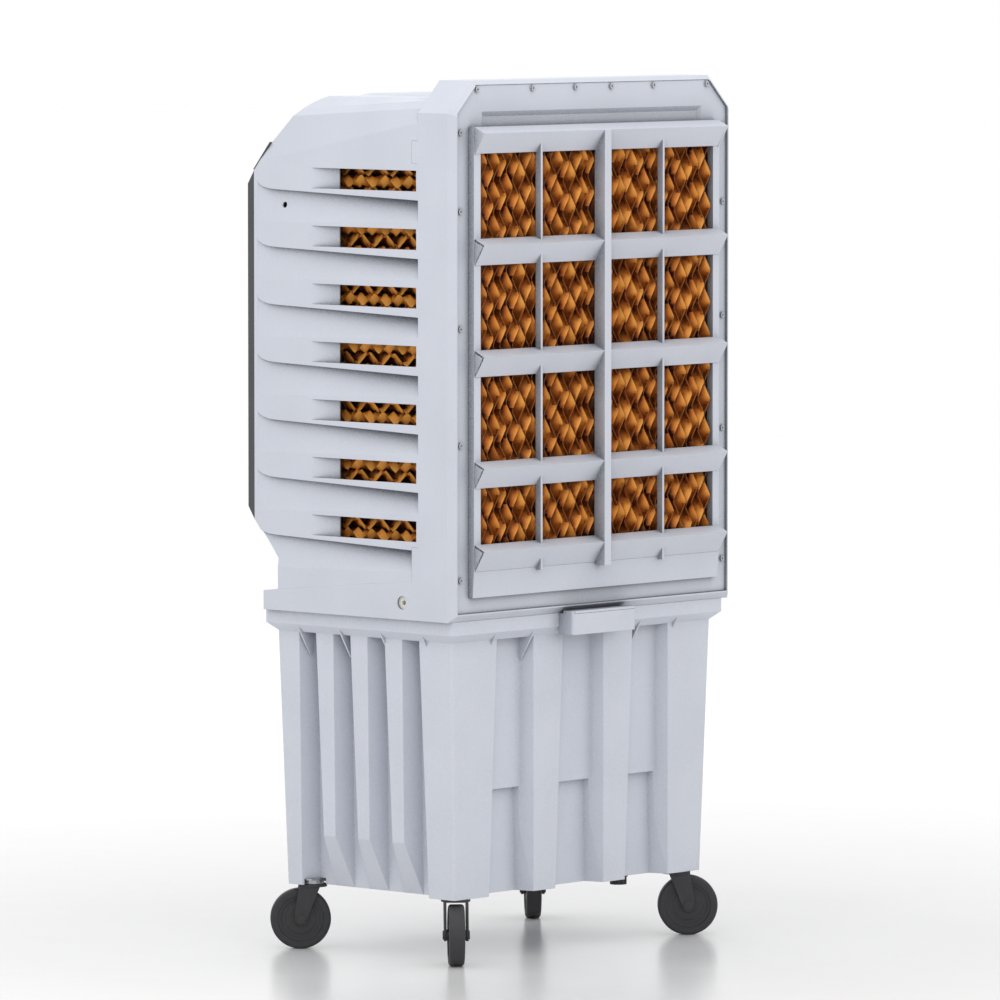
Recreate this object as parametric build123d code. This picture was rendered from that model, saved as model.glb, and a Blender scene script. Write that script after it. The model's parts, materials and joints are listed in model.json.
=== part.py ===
"""Mobile evaporative cooler: louvred hood and rear casing on a water tank that stands on four swivel castors.

Millimetres, +Z up. The origin is on the floor under the middle of the machine: the air leaves towards -Y,
the removable pad frame is on the +Y side. Left pieces are on the -X side and right pieces on the +X side.
"""

import os
from math import atan2, ceil, cos, degrees, hypot, pi, radians, sin

from build123d import *

os.makedirs("parts", exist_ok=True)

# Overall
half_width = 345.0
top_z = 1436.0
rear_y = 220.0
seam_y = 145.0
deck_z = 563.5

# Fits
pin_r = 3.0
running = 0.05
clear = 0.3

# Castors
wheel_r = 50.0
wheel_width = 26.0
tyre_thick = 12.0
hub_r = 9.0
axle_r = 5.0
stem_r = 6.0
trail = 20.0
leg_gap = 16.0
leg_thick = 4.0
foot_r = 10.0
crown_r = 24.0
crown_thick = 4.5
crown_z = 2 * wheel_r + 3.0
castor_x = half_width - 73.0
castor_y = rear_y - 60.0
mount_length = 54.0
mount_width = 42.0
mount_thick = 3.0

# Tank
pocket_z = crown_z + 15.0
pocket_x = castor_x - 32.0
pocket_y = castor_y - 28.0
tank_z = pocket_z - 10.0
tank_wall = 4.0
tank_corner_r = 6.0
rim_z = deck_z - 22.0
rim_half_x = half_width - 11.0
rim_half_y = rear_y - 10.0
rim_corner_r = 7.0
tank_shoulder_z = rim_z - 13.5
tank_half_x = rim_half_x - 15.0
tank_half_y = rim_half_y - 15.0
tank_half_x_low = tank_half_x - 14.5
tank_half_y_low = tank_half_y - 8.0
end_flutes = (((-50.0, 50.0), (-59.5, 59.5)), ((122.0, 211.0), (112.5, 221.0)))
end_flute_depth = 22.0
end_foot_depth = 34.0
end_flute_draft = 9.0
step_z = tank_z + 172.0
side_flutes = ((-145.0, -107.0), (-68.5, -30.0), (8.0, 46.5), (85.0, 123.0))
side_flute_depth = 35.0
side_flute_draft = 10.0
side_flute_spread = 8.0
foot_slope_y = (-143.0, 121.0)
foot_slope_z = tank_z + 86.0
gusset_thick = 3.0
side_gussets = (-138.0, -46.0, 46.0, 138.0)
end_gussets = (132.0, 224.0)

# Casings
skin = 3.0
casing_wall = 4.0
corner_cut = 52.0
rear_bevel = 10.5
rim_width = 13.0
top_rim_width = 7.0
plate_face_y = rear_y - 4.5
plate_thick = 3.0
flange_thick = 4.0
flange_y = (plate_face_y - plate_thick - flange_thick, plate_face_y - plate_thick)
window_half_x = half_width - 45.0
window_z = (deck_z + 36.5, top_z - 44.0)
lug_y = seam_y - 14.0
lug_z = ((deck_z + 63.5, deck_z + 118.5), (top_z - 133.0, top_z - 97.0))
deck_front_y = -201.0
deck_front_z = deck_z + 31.5
deck_rise = 0.0968

# Hood outline, from its foot up over the front to the roof
hood_foot_y = -168.5
hood_front_y = -221.0
hood_lip_z = deck_z + 85.5
hood_belly_z = deck_z + 147.5
panel_low = (hood_front_y, top_z - 152.0)
panel_high = (-183.0, top_z - 106.0)
brow_low = (-129.0, top_z - 51.0)
brow_middle = (-97.0, top_z - 31.0)
roof_start_y = -60.0
roof_rise = 4.0
hood_roof_z = top_z - 29.0
gable_y = -130.0
crease_z = top_z - 120.0
crease_slope = 0.1889
shoulder_z = top_z - 61.0
shoulder_slope = 0.0593

# Side louvres
louvre_count = 7
louvre_pitch = 94.4
slot_top_z = top_z - 145.0
slot_height = 33.5
slot_front_y = -39.5
slot_rear_y = seam_y - 4.0
scoop_start_y = -92.0
scoop_depth = 12.0
fluting_depth = 20.0
nose_depth = 7.0
nose_y = -171.0
nose_reach = 43.0
nose_drop = 14.0
blade_foot = 23.0
blade_rear_foot = 48.0
blade_slope = 0.0285
sensor_hole = (-155.0, slot_top_z - 62.0)

# Outlet, fascia and controls
outlet_half_width = 270.0
outlet_low_z = deck_z + 181.5
outlet_high_z = outlet_low_z + 470.0
outlet_wall = 4.0
fascia_front_y = -235.0
bezel_front_y = -249.5
bezel_border = 20.0
bezel_bevel = 5.0
duct_rear_y = -150.0
blade_count = 6
vane_count = 5
blade_pivot_y = -228.0
vane_pivot_y = -178.0
blade_chord = 36.0
vane_chord = 40.0
louvre_thick = 3.0
louvre_edge = 1.0
louvre_taper = 6.0
louvre_gap = 1.5
pin_bite = 3.5
link_arm = 14.0
crank_r = 1.25
link_width = 6.0
link_thick = 4.0
notch_half = 5.0
panel_thick = 2.5
knob_x = (-90.0, 90.0)
knob_r = 17.0
knob_height = 15.0

# Rear cover plate and its screws
screw_x = half_width - 22.6
screw_side_z = (deck_z + 67.5, deck_z + 285.5, deck_z + 473.5, top_z - 210.0, top_z - 83.0)
screw_top_z = top_z - 14.0
screw_top_x = (43.9, 148.6, half_width - 62.7)
screw_r = 2.0
boss_r = 6.0
boss_height = 0.8
head_r = 4.5
head_height = 2.2
grip_half_x = half_width - 82.7
grip_z = (top_z - 91.0, top_z - 58.0)
grip_depth = 4.0
grip_bevel = 8.0
opening_half_x = half_width - 55.0
opening_z = (deck_z + 48.5, top_z - 84.0)

# Pads and pad frame
pad_half_x = half_width - 61.0
pad_front_y = seam_y + 7.0
pad_rear_y = rear_y + 5.0
pad_low_z = deck_z + 84.5
pad_high_z = top_z - 96.0
side_pad_x = (half_width - 93.0, half_width - 27.0)
side_pad_y = (-62.0, seam_y - 1.0)
side_pad_low_z = deck_z + 61.5
rest_thick = 3.5
rest_gap = 0.5
frame_half_x = half_width - 43.0
rail_width = 16.0
frame_z = (deck_z + 38.5, top_z - 74.0)
frame_face_y = rear_y + 8.0
slat_crest_y = rear_y + 29.0
slat_pitch = 180.0
slat_drop = 43.0
low_slat_z = deck_z + 124.5
middle_bar = 16.0
guide_bar = 4.5
guide_bar_x = 150.0

# Fan
fan_z = outlet_low_z + 240.0
fan_bore_r = 232.0
tip_gap = 14.0
fan_blade_count = 5
blade_thick = 3.5
hub_half_length = 28.0
fan_hub_r = 45.0
shaft_r = 8.0
shroud_y = -100.0
shroud_half_x = half_width - 17.0
shroud_z = (deck_z + 76.5, top_z - 64.0)
ring_front_y = -140.0
ring_rear_y = -60.0
bracket_thick = 5.0
motor_r = 60.0
motor_rear_y = 45.0
guard_ring_count = 6
guard_wire = 2.6
guard_first_r = 40.0

# Water system
hose_r = 8.0
hose_bore_r = 6.0
hose_x = -half_width + 45.0
hose_y = pad_front_y + 18.0
pump_x = -210.0
pump_y = 85.0
pump_half_x = 40.0
pump_half_y = 28.0
pump_height = 66.0
tray_z = (top_z - 86.0, top_z - 66.0)
tray_rear_y = rear_y - 24.0
tray_half_x = half_width - 33.0
tray_arm_x = side_pad_x[0] + 4.0
tray_arm_y = side_pad_y[0] + 6.0
tray_wall = 2.0
drip_r = 1.5
drip_pitch = 50.0
inlet_y = 110.0
inlet_z = deck_z + 27.5
inlet_r = 11.0
float_pivot = (half_width - 53.0, inlet_z - 6.0)
float_end = (half_width - 155.0, deck_z - 63.5)
float_r = 24.0
float_pin_r = 2.0
drain_x = -160.0
drain_y = 131.0
drain_r = 10.0
drain_wall = 3.0
plug_r = 14.0

# Filling hopper
hopper_half_x = 77.0
hopper_wall = 3.0
hopper_rear_y = rear_y + 23.0
hopper_z = deck_z - 34.5
mouth_half_x = 60.0
mouth_z = (deck_z - 18.5, deck_z - 4.5)
lid_top_z = deck_z + 4.5
lid_pin_r = 1.5
lid_pin_y = rear_y + 5.5
lid_pin_z = lid_top_z - 2.0


def write(name, shape):
    """Save one piece as its own file."""
    solids = shape.solids()
    print(name, len(solids), round(sum(s.volume for s in solids) / 1000), "cm3")
    export_step(Compound(solids) if len(solids) > 1 else solids[0], f"parts/{name}.step")


def slab(x, y, z):
    """Box between three (low, high) spans."""
    spans = [(min(span), max(span)) for span in (x, y, z)]
    middle = [(low + high) / 2 for low, high in spans]
    return Pos(*middle) * Box(*[high - low for low, high in spans])


def along_x(outline, low, high):
    """Prism of a (y, z) outline."""
    face = make_face(Polyline(*[(low, y, z) for y, z in outline], close=True))
    return extrude(face, amount=high - low, dir=(1, 0, 0))


def along_y(outline, low, high):
    """Prism of an (x, z) outline."""
    face = make_face(Polyline(*[(x, low, z) for x, z in outline], close=True))
    return extrude(face, amount=high - low, dir=(0, 1, 0))


def along_z(outline, low, high):
    """Prism of an (x, y) outline."""
    face = make_face(Polyline(*[(x, y, low) for x, y in outline], close=True))
    return extrude(face, amount=high - low, dir=(0, 0, 1))


def rounded(half_x, half_y, radius, low, high):
    """Upright prism with rounded corners, centred on the machine."""
    return extrude(Pos(0, 0, low) * RectangleRounded(2 * half_x, 2 * half_y, radius), amount=high - low)


def rod_x(y, z, radius, low, high):
    return Pos((low + high) / 2, y, z) * Rot(0, 90, 0) * Cylinder(radius, high - low)


def rod_y(x, z, radius, low, high):
    return Pos(x, (low + high) / 2, z) * Rot(90, 0, 0) * Cylinder(radius, high - low)


def rod_z(x, y, radius, low, high):
    return Pos(x, y, (low + high) / 2) * Cylinder(radius, high - low)


def both_sides(shape):
    """The shape and its mirror image across the machine's middle."""
    return shape + mirror(shape, about=Plane.YZ)


def both_ends(shape):
    """The shape and its mirror image from front to rear."""
    return shape + mirror(shape, about=Plane.XZ)


def cut_all(shape, cutters):
    for cutter in cutters:
        shape = shape - cutter
    return shape


def join_all(shapes):
    total = shapes[0]
    for shape in shapes[1:]:
        total = total + shape
    return total


# ---------------------------------------------------------------- water tank
def tank_half(z):
    """Half width and half depth of the tapered tank wall at a height."""
    share = (z - tank_z) / (tank_shoulder_z - tank_z)
    return (
        tank_half_x_low + share * (tank_half_x - tank_half_x_low),
        tank_half_y_low + share * (tank_half_y - tank_half_y_low),
    )


def tank_form(inset, low, high, radius):
    levels = []
    for z in (low, high):
        x, y = tank_half(z)
        levels.append(Pos(0, 0, z) * RectangleRounded(2 * (x - inset), 2 * (y - inset), radius))
    return loft(levels, ruled=True)


def flute(on_side, low_edges, high_edges, depth, draft, z_span, inset):
    """Tapered groove in a tank wall: a trapezoid that runs from one height to the other."""
    overshoot = 10.0
    slope = draft / depth
    levels = []
    for z, (start, end) in zip(z_span, (low_edges, high_edges)):
        wall = tank_half(z)[0 if on_side else 1]
        outer, inner = wall + overshoot, wall - depth - inset
        wide = (start - inset - slope * overshoot, end + inset + slope * overshoot)
        narrow = (start - inset + draft, end + inset - draft)
        corners = [(wide[0], outer), (wide[1], outer), (narrow[1], inner), (narrow[0], inner)]
        if on_side:
            corners = [(out, run) for run, out in corners]
        levels.append(make_face(Polyline(*[(x, y, z) for x, y in corners], close=True)))
    return loft(levels, ruled=True)


def tank_hollows(inset):
    """Every recess of the tank's outside, deepened by the wall when it shapes the inside."""
    top = tank_shoulder_z + inset
    low = tank_z - 1.0
    hollows = []
    for edges, spread in end_flutes:
        for depth, z_top in ((end_flute_depth, top), (end_foot_depth, step_z + inset)):
            cut = both_ends(flute(False, spread, edges, depth, end_flute_draft, (low, z_top), inset))
            hollows.append(cut if edges[0] < 0 else both_sides(cut))
    for start, end in side_flutes:
        wide = (start - side_flute_spread, end + side_flute_spread)
        cut = flute(True, wide, (start, end), side_flute_depth, side_flute_draft, (low, top), inset)
        hollows.append(both_sides(cut))
    x_low, x_high = tank_half(tank_z)[0], tank_half(foot_slope_z)[0]
    clear_of_wall = x_high + 20.0
    slope = [(x_low - side_flute_depth - inset, low), (x_high - inset, foot_slope_z + inset)]
    slope += [(clear_of_wall, foot_slope_z + inset), (clear_of_wall, low)]
    hollows.append(both_sides(along_y(slope, foot_slope_y[0] - inset, foot_slope_y[1] + inset)))
    skirt = tank_wall if inset == 0 else 0.0
    x, y = tank_half(tank_z)
    pocket = slab((pocket_x - inset, x - skirt), (pocket_y - inset, y - skirt), (low, pocket_z + inset))
    hollows.append(both_ends(both_sides(pocket)))
    return hollows


def gusset(on_side, place):
    """Thin triangular webs between wall and rim, one in each mirrored position."""
    half = gusset_thick / 2
    root = (tank_half_x if on_side else tank_half_y) - 24.0
    tip = (rim_half_x if on_side else rim_half_y) - 1.0
    foot, top = tank_shoulder_z - 38.0, rim_z + 1.0
    outline = [(root, foot), (root + 6.0, foot), (tip, top), (root, top)]
    if on_side:
        return both_sides(along_y(outline, place - half, place + half))
    return both_ends(both_sides(along_x(outline, place - half, place + half)))


def water_tank():
    outside = cut_all(tank_form(0, tank_z, tank_shoulder_z, tank_corner_r), tank_hollows(0))
    inner_r = tank_corner_r - tank_wall
    inside = tank_form(tank_wall, tank_z + tank_wall, tank_shoulder_z, inner_r)
    inside = cut_all(inside, tank_hollows(tank_wall))
    wall_top = Pos(0, 0, tank_shoulder_z) * RectangleRounded(2 * tank_half_x, 2 * tank_half_y, tank_corner_r)
    rim_foot = Pos(0, 0, rim_z) * RectangleRounded(2 * rim_half_x, 2 * rim_half_y, rim_corner_r)
    shoulder = loft([wall_top, rim_foot], ruled=True)
    rim = rounded(rim_half_x, rim_half_y, rim_corner_r, rim_z, deck_z)
    webs = join_all([gusset(True, place) for place in side_gussets])
    webs = webs + join_all([gusset(False, place) for place in end_gussets])
    mouth_x, mouth_y = tank_half_x - tank_wall, tank_half_y - tank_wall
    mouth = rounded(mouth_x, mouth_y, inner_r, tank_shoulder_z, deck_z + 1.0)
    ledge_z = rim_z + 8.0
    ledge = rounded(rim_half_x - 4.0, rim_half_y - 4.0, rim_corner_r - 4.0, ledge_z, deck_z + 1.0)
    tank = outside + shoulder + rim + webs - inside - mouth - ledge
    tank = tank - slab((-mouth_half_x, mouth_half_x), (rim_half_y - 25.0, rim_half_y + 1.0), mouth_z)
    return tank - rod_z(drain_x, drain_y, drain_r + clear, tank_z - 1.0, tank_z + tank_wall + 1.0)


# ---------------------------------------------------------------- casings
def screw_places():
    """Where the cover plate's screws sit: up both sides and across the top."""
    sides = [(side * screw_x, z) for z in screw_side_z for side in (-1, 1)]
    return sides + [(side * x, screw_top_z) for x in screw_top_x for side in (-1, 1)]


def gabled(inset, bottom, top_inset=None):
    """Rear outline with the two cut-off top corners."""
    top_inset = inset if top_inset is None else top_inset
    x, z = half_width - inset, top_z - top_inset
    cut = corner_cut - (inset + top_inset) * 0.3
    right = [(x, bottom), (x, z - cut), (x - cut, z)]
    return right + [(-a, b) for a, b in reversed(right)]


def deck_edge_z(y):
    """Height of the seam between deck and hood, which climbs towards the rear."""
    return deck_front_z + (y - deck_front_y) * deck_rise


def deck_body():
    """Shallow open box under the hood, with a hollow nose ahead of it."""
    inner_x = half_width - casing_wall
    floor = deck_z + casing_wall
    outline = [(deck_front_y, deck_z), (seam_y, deck_z), (seam_y, deck_edge_z(seam_y))]
    deck = along_x(outline + [(deck_front_y, deck_front_z)], -half_width, half_width)
    front, rear = hood_foot_y + skin, seam_y + 1.0
    deck = deck - slab((-inner_x, inner_x), (front, rear), (floor, top_z))
    nose_y_span = (deck_front_y + casing_wall, hood_foot_y - 1.0)
    return deck - slab((-inner_x, inner_x), nose_y_span, (deck_z - 1.0, deck_front_z - casing_wall))


def rear_casing():
    shell = along_y(gabled(0, deck_z), seam_y, rear_y)
    shell = chamfer(shell.faces().sort_by(Axis.Y)[-1].edges(), rear_bevel)
    rebate = gabled(rim_width, deck_z + rim_width, top_rim_width)
    shell = shell - along_y(rebate, plate_face_y - plate_thick, rear_y + 1.0)
    shell = shell - along_y(gabled(casing_wall, deck_z + casing_wall), seam_y - 1.0, flange_y[0])
    shell = shell - slab((-window_half_x, window_half_x), (flange_y[0] - 1.0, rear_y), window_z)
    casing = shell + deck_body()
    front_rest = (side_pad_y[0] - rest_gap - rest_thick, side_pad_y[0] - rest_gap)
    rear_rest = (side_pad_y[1] + rest_gap, side_pad_y[1] + rest_gap + rest_thick)
    for span in (front_rest, rear_rest):
        casing = casing + both_sides(slab(side_pad_x, span, (deck_z + 1.0, side_pad_low_z)))
    for low, high in lug_z:
        lug = slab((half_width - skin, half_width), (lug_y, seam_y + 2.0), (low, high))
        casing = casing + both_sides(lug)
    floor = (deck_z - 1.0, deck_z + casing_wall + 1.0)
    pad_drain_x = pad_half_x - 9.0
    casing = casing - slab((-pad_drain_x, pad_drain_x), (pad_front_y, pad_front_y + 32.0), floor)
    side_drain_x = (side_pad_x[0] + 6.0, side_pad_x[1] - 6.0)
    casing = casing - both_sides(slab(side_drain_x, (side_pad_y[0] + 6.0, inlet_y - 50.0), floor))
    float_well_x = (float_end[0] - 10.0, float_pivot[0] - 6.0)
    casing = casing - slab(float_well_x, (inlet_y - 18.0, inlet_y + 14.0), floor)
    casing = casing - rod_z(hose_x, hose_y, hose_r + 2.0, *floor)
    casing = casing - rod_x(inlet_y, inlet_z, inlet_r, half_width - casing_wall - 1.0, half_width + 1.0)
    holes = [rod_y(x, z, screw_r + running, flange_y[0] - 1.0, rear_y) for x, z in screw_places()]
    return cut_all(casing, holes)


def hood_profile(inset, extra):
    """Side outline of the hood, drawn in by the skin when it shapes the inside."""
    low = deck_edge_z(hood_foot_y)
    rear = seam_y + extra
    top = hood_roof_z + roof_rise
    front = [(hood_foot_y, low - extra), (hood_foot_y, hood_lip_z), (hood_front_y, hood_belly_z)]
    front += [panel_low, panel_high, brow_low]
    roof = [(roof_start_y, top), (rear, top), (rear, deck_edge_z(rear) - extra)]
    rising = [Vector(0, y, z) for y, z in front]
    falling = [Vector(0, y, z) for y, z in roof]
    bend = ThreePointArc(rising[-1], Vector(0, *brow_middle), falling[0])
    face = make_face(Polyline(*rising) + bend + Polyline(*falling, rising[0]))
    return offset(face, amount=-inset, kind=Kind.INTERSECTION) if inset else face


def hood_form(inset, extra):
    """The hood as a full body: its side outline cut by the tilted, bevelled upper sides."""
    body = extrude(hood_profile(inset, extra), amount=half_width - inset, dir=(1, 0, 0), both=True)
    gables = []
    for y in (-260.0, seam_y + 15.0):
        crease = crease_z + (y - gable_y) * crease_slope
        shoulder = shoulder_z + (y - gable_y) * shoulder_slope
        right = [(half_width, crease), (half_width - 8.0, shoulder), (half_width - 20.0, shoulder + 12.0)]
        right += [(half_width - 43.0, hood_roof_z), (half_width - 117.0, hood_roof_z)]
        right += [(half_width - 127.0, hood_roof_z + roof_rise)]
        right = [(x - inset, z - inset) for x, z in right]
        right = [(half_width - inset, deck_z - 60.0)] + right
        ring = [(x, y, z) for x, z in right] + [(-x, y, z) for x, z in reversed(right)]
        gables.append(make_face(Polyline(*ring, close=True)))
    return body & loft(gables, ruled=True)


def fluting(inset):
    """Wedge-shaped hollow under each louvre of one side, deepening from the nose to the rear."""
    stations = []
    for turn in (0.0, 22.5, 45.0, 67.5, 90.0):
        y = nose_y - nose_reach * cos(radians(turn))
        foot = slot_top_z - blade_foot - nose_drop * sin(radians(turn))
        stations.append((y, foot, 0.05 + nose_depth * turn / 90.0))
    stations.append((seam_y + 1.0, slot_top_z - blade_rear_foot, fluting_depth))
    beyond = half_width + 5.0
    cuts = []
    for index in range(louvre_count):
        faces = []
        for y, foot, depth in stations:
            next_top = slot_top_z + 4.0 - louvre_pitch + (y - nose_y) * blade_slope
            ring = [(beyond, foot + inset), (half_width - depth - inset, foot + inset)]
            ring += [(half_width - inset, next_top), (beyond, next_top)]
            ring = [(x, y, z - index * louvre_pitch) for x, z in ring]
            faces.append(make_face(Polyline(*ring, close=True)))
        cuts.append(loft(faces, ruled=True))
    return cuts


def scoops(inset):
    """Slanted face that leads into each air slot of one side."""
    beyond, mouth_y = half_width + 5.0, slot_front_y + inset
    ring = [(beyond, scoop_start_y), (half_width - inset, scoop_start_y)]
    ring += [(half_width - scoop_depth - inset, mouth_y), (beyond, mouth_y)]
    cuts = []
    for index in range(louvre_count):
        top = slot_top_z - index * louvre_pitch
        cuts.append(along_z(ring, top - slot_height - inset, top + inset))
    return cuts


def front_casing():
    outside = cut_all(hood_form(0, 0), [both_sides(cut) for cut in fluting(0) + scoops(0)])
    inside = cut_all(hood_form(skin, 20.0), [both_sides(cut) for cut in fluting(skin) + scoops(skin)])
    hood = outside - inside
    for index in range(louvre_count):
        top = slot_top_z - index * louvre_pitch
        spans = ((slot_front_y, slot_rear_y), (top - slot_height, top))
        hood = hood - both_sides(slab((half_width - 40.0, half_width + 1.0), *spans))
    reach = outlet_half_width + outlet_wall + clear
    span = (outlet_low_z - outlet_wall - clear, outlet_high_z + outlet_wall + clear)
    hood = hood - slab((-reach, reach), (hood_front_y - 1.0, hood_front_y + 10.0), span)
    side_wall = (half_width - 30.0, half_width + 1.0)
    for low, high in lug_z:
        hood = hood - both_sides(slab(side_wall, (lug_y - clear, seam_y + 1.0), (low - clear, high + clear)))
    hood = hood - both_sides(rod_x(*sensor_hole, 5.0, *side_wall))
    shaft_holes = [knob_frame(x) * Pos(0, 0, -4) * Cylinder(pin_r + 1.0, 14) for x in knob_x]
    return cut_all(hood, shaft_holes)


# ---------------------------------------------------------------- outlet, fascia and controls
def knob_frame(x):
    """Frame on the sloping panel with its z axis straight out of the panel."""
    run, rise = panel_high[0] - panel_low[0], panel_high[1] - panel_low[1]
    y, z = panel_low[0] + run / 2, panel_low[1] + rise / 2
    return Pos(x, y, z) * Rot(degrees(atan2(rise, run)), 0, 0)


def blade_heights():
    pitch = (outlet_high_z - outlet_low_z) / blade_count
    return [outlet_low_z + pitch * (index + 0.5) for index in range(blade_count)]


def vane_places():
    pitch = 2 * outlet_half_width / vane_count
    return [-outlet_half_width + pitch * (index + 0.5) for index in range(vane_count)]


def front_fascia():
    low, high = hood_belly_z + 21.0, panel_low[1] - 22.0
    outline = [(hood_front_y, hood_belly_z), (fascia_front_y, low), (fascia_front_y, high), panel_low]
    fascia = along_x(outline, -half_width, half_width)
    border = outlet_half_width + bezel_border
    rims = (outlet_low_z - bezel_border, outlet_high_z + bezel_border)
    bezel = slab((-border, border), (bezel_front_y, fascia_front_y), rims)
    bezel = chamfer(bezel.faces().sort_by(Axis.Y)[0].edges(), bezel_bevel)
    reach = outlet_half_width + outlet_wall
    duct = (outlet_low_z - outlet_wall, outlet_high_z + outlet_wall)
    fascia = fascia + bezel + slab((-reach, reach), (hood_front_y, duct_rear_y), duct)
    air_way = ((-outlet_half_width, outlet_half_width), (bezel_front_y - 1.0, duct_rear_y + 1.0))
    fascia = fascia - slab(*air_way, (outlet_low_z, outlet_high_z))
    socket_r, past = pin_r + running, reach + 20.0
    sockets = [rod_x(blade_pivot_y, z, socket_r, -past, past) for z in blade_heights()]
    sockets += [rod_z(x, vane_pivot_y, socket_r, duct[0] - 1.0, duct[1] + 1.0) for x in vane_places()]
    return cut_all(fascia, sockets)


def louvre(length, chord, pin_reach):
    """Thin-edged blade along X about its pivot, with end pins and a crank pin in a notch for the link."""
    front, rear = -chord / 2, chord / 2
    half, edge = louvre_thick / 2, louvre_edge / 2
    upper = [(front, edge), (front + louvre_taper, half), (rear - louvre_taper, half), (rear, edge)]
    blade = along_x(upper + [(y, -z) for y, z in reversed(upper)], -length / 2, length / 2)
    blade = blade + rod_x(0, 0, pin_r, -pin_reach, pin_reach)
    notch = ((-notch_half, notch_half), (link_arm - notch_half - 0.5, chord), (-notch_half, notch_half))
    return blade - slab(*notch) + rod_x(link_arm, 0, crank_r, -notch_half - 0.5, notch_half + 0.5)


def outlet_blade(z):
    blade = louvre(2 * (outlet_half_width - louvre_gap), blade_chord, outlet_half_width + pin_bite)
    return Pos(0, blade_pivot_y, z) * blade


def outlet_vane(x):
    height = outlet_high_z - outlet_low_z
    blade = louvre(height - 2 * louvre_gap, vane_chord, height / 2 + pin_bite)
    return Pos(x, vane_pivot_y, (outlet_low_z + outlet_high_z) / 2) * Rot(0, -90, 0) * blade


def link_bar(places):
    """Flat strip that ties the crank pins of a gang together."""
    middle = (places[0] + places[-1]) / 2
    bar = Pos(0, link_arm, 0) * Box(places[-1] - places[0] + 12.0, link_width, link_thick)
    holes = [Pos(place - middle, link_arm, 0) * Cylinder(crank_r + running, link_width) for place in places]
    return cut_all(bar, holes)


def blade_link():
    upright = Rot(0, -90, 0) * link_bar(blade_heights())
    return Pos(0, blade_pivot_y, (outlet_low_z + outlet_high_z) / 2) * upright


def vane_link():
    return Pos(0, vane_pivot_y, (outlet_low_z + outlet_high_z) / 2) * link_bar(vane_places())


def control_panel():
    length = hypot(panel_high[0] - panel_low[0], panel_high[1] - panel_low[1])
    panel = knob_frame(0) * Pos(0, 0, panel_thick / 2) * Box(2 * half_width, length - 1.0, panel_thick)
    return cut_all(panel, [knob_frame(x) * Cylinder(pin_r + running, 20) for x in knob_x])


def knob(x):
    """Round knob with both flanks cut back to a grip bar, on a short shaft."""
    base = panel_thick + clear
    flank = 14.0
    grip = Pos(0, 0, base + knob_height / 2) * Cylinder(knob_r, knob_height)
    grip = chamfer(grip.faces().sort_by(Axis.Z)[-1].edges(), 2.0)
    for side in (-1, 1):
        grip = grip - Pos(side * flank, 0, base + 3.0 + flank / 2) * Box(16.0, 40.0, flank)
    shaft = Pos(0, 0, base - 7.0) * Cylinder(pin_r, 16.0)
    return knob_frame(x) * (grip + shaft)


# ---------------------------------------------------------------- rear cover, grille and pads
def grip_funnel(shift):
    """The lift-out grip's pocket as a body that narrows towards the inside."""
    low, high = grip_z
    wide = grip_half_x + grip_bevel
    deep = [(-grip_half_x, low), (grip_half_x, low), (grip_half_x, high), (-grip_half_x, high)]
    mouth = [(-wide, low), (wide, low), (wide, high + grip_bevel), (-wide, high + grip_bevel)]
    levels = []
    for outline, y in ((deep, plate_face_y - grip_depth), (mouth, plate_face_y + 0.01)):
        levels.append(make_face(Polyline(*[(x, y + shift, z) for x, z in outline], close=True)))
    return loft(levels, ruled=True)


def rear_cover_plate():
    face = (plate_face_y - plate_thick, plate_face_y)
    gap = 0.4
    plate = along_y(gabled(rim_width + gap, deck_z + rim_width + gap, top_rim_width + gap), *face)
    bosses = [rod_y(x, z, boss_r, face[1], face[1] + boss_height) for x, z in screw_places()]
    plate = join_all([plate] + bosses)
    behind = plate_face_y - grip_depth - 5.0
    pan = grip_funnel(-2.0) & slab((-half_width, half_width), (behind, face[1]), (grip_z[0], top_z))
    plate = plate + pan - grip_funnel(0)
    plate = plate - slab((-opening_half_x, opening_half_x), (behind, face[1] + 1.0), opening_z)
    holes = [rod_y(x, z, screw_r + running, face[0] - 1.0, face[1] + 2.0) for x, z in screw_places()]
    return cut_all(plate, holes)


def panel_screws():
    """Pan-head screws with a cross recess, clamping plate to flange."""
    head = plate_face_y + boss_height
    slot_y = (head + 1.0, head + 3.0)
    long, short = 2.6, 0.6
    screws = []
    for x, z in screw_places():
        screw = rod_y(x, z, head_r, head, head + head_height)
        screw = screw + rod_y(x, z, screw_r, flange_y[0] - 3.0, head)
        screw = screw - slab((x - long, x + long), slot_y, (z - short, z + short))
        screws.append(screw - slab((x - short, x + short), slot_y, (z - long, z + long)))
    return Compound([screw.solid() for screw in screws])


def slat(top):
    """Roof-shaped slat: out and down from the frame, then back in to its foot."""
    foot = top - slat_drop
    lip = frame_face_y + 1.0
    wall = 4.4
    outline = [(frame_face_y - 2.0, top), (frame_face_y, top), (slat_crest_y, top - 10.0), (lip, foot)]
    outline += [(lip - 3.4, foot), (slat_crest_y - wall, top - 11.5), (frame_face_y - 2.0, top - 3.2)]
    return along_x(outline, -frame_half_x + 2.0, frame_half_x - 2.0)


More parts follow.
